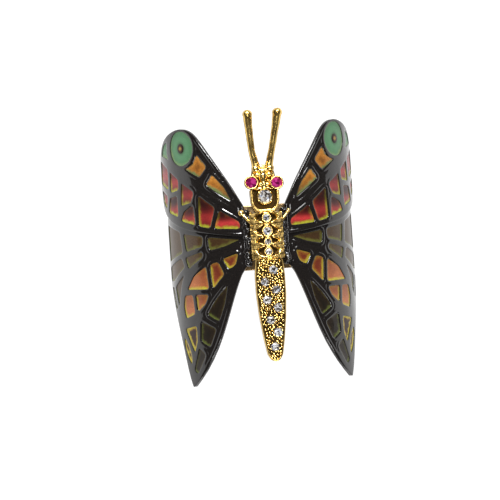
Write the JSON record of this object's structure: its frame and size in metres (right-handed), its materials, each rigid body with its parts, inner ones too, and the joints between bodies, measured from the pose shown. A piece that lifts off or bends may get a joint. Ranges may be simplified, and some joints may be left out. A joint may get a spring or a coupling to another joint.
{
  "type": "brooch",
  "caption": "Butterfly brooch with arched enamel wings, a stone-set gold body, bent antennae, and a hinged pin with a turning safety catch behind a bowed back frame.",
  "frame": {"origin": "middle of the brooch in plan, on the plane that the wings' back edges lie on", "axes": "+Z out of the front, +Y from abdomen to head, +X to the wearer-facing viewer's right"},
  "size_m": [0.0288, 0.0409, 0.0175],
  "materials": {
    "gold": "bright polished yellow gold",
    "bow_gold": "satin yellow gold, darker in its shade",
    "pin_gold": "polished yellow gold",
    "black_enamel": "glossy black enamel over metal",
    "brown_enamel": "grainy translucent brown enamel",
    "red_enamel": "translucent maroon to coral enamel",
    "green_enamel": "opaque sea-green enamel",
    "pupil_enamel": "dark brown enamel with a yellow dot",
    "olive_enamel": "olive-brown enamel",
    "orange_enamel": "orange-coral enamel with yellow edges",
    "dark_enamel": "dark olive-brown enamel",
    "yellow_enamel": "yellow enamel with a dark middle",
    "diamond": "clear brilliant-cut stone",
    "ruby": "magenta-red cut stone"
  },
  "bodies": {
    "root": {"bow_frame": "bow_gold", "thorax": "gold", "thorax_settings": "gold", "thorax_diamonds": "diamond", "head": "gold", "head_collar": "gold", "head_setting": "gold", "head_diamond": "diamond", "abdomen": "gold", "abdomen_diamonds": "diamond", "eye_bezel_left": "gold", "eye_bezel_right": "gold", "ruby_left": "ruby", "ruby_right": "ruby", "antenna_left": "gold", "antenna_right": "gold", "wing_root_left": "black_enamel", "wing_root_right": "black_enamel", "wing_link_left": "gold", "wing_link_right": "gold", "forewing_frame_left": "black_enamel", "forewing_frame_right": "black_enamel", "forewing_brown_enamel_left": "brown_enamel", "forewing_brown_enamel_right": "brown_enamel", "forewing_red_enamel_left": "red_enamel", "forewing_red_enamel_right": "red_enamel", "forewing_green_enamel_left": "green_enamel", "forewing_green_enamel_right": "green_enamel", "forewing_pupil_left": "pupil_enamel", "forewing_pupil_right": "pupil_enamel", "hindwing_frame_left": "black_enamel", "hindwing_frame_right": "black_enamel", "hindwing_olive_enamel_left": "olive_enamel", "hindwing_olive_enamel_right": "olive_enamel", "hindwing_orange_enamel_left": "orange_enamel", "hindwing_orange_enamel_right": "orange_enamel", "hindwing_dark_enamel_left": "dark_enamel", "hindwing_dark_enamel_right": "dark_enamel", "hindwing_yellow_enamel_left": "yellow_enamel", "hindwing_yellow_enamel_right": "yellow_enamel", "joint_bracket": "pin_gold", "joint_rivet": "pin_gold", "catch_housing": "pin_gold"},
    "pin": {"pin_stem": "pin_gold"},
    "roller": {"catch_roller": "pin_gold"}
  },
  "joints": [
    {"name": "pin_swing", "type": "hinge", "parent": "root", "child": "pin", "pos_m": [-0.011, 0.00125, 0.00247], "axis": [0, 1, 0], "range_deg": [0, 90]},
    {"name": "catch_turn", "type": "hinge", "parent": "root", "child": "roller", "pos_m": [0.0109, 0.00125, 0.00247], "axis": [1, 0, 0], "range_deg": [0, 120]}
  ]
}
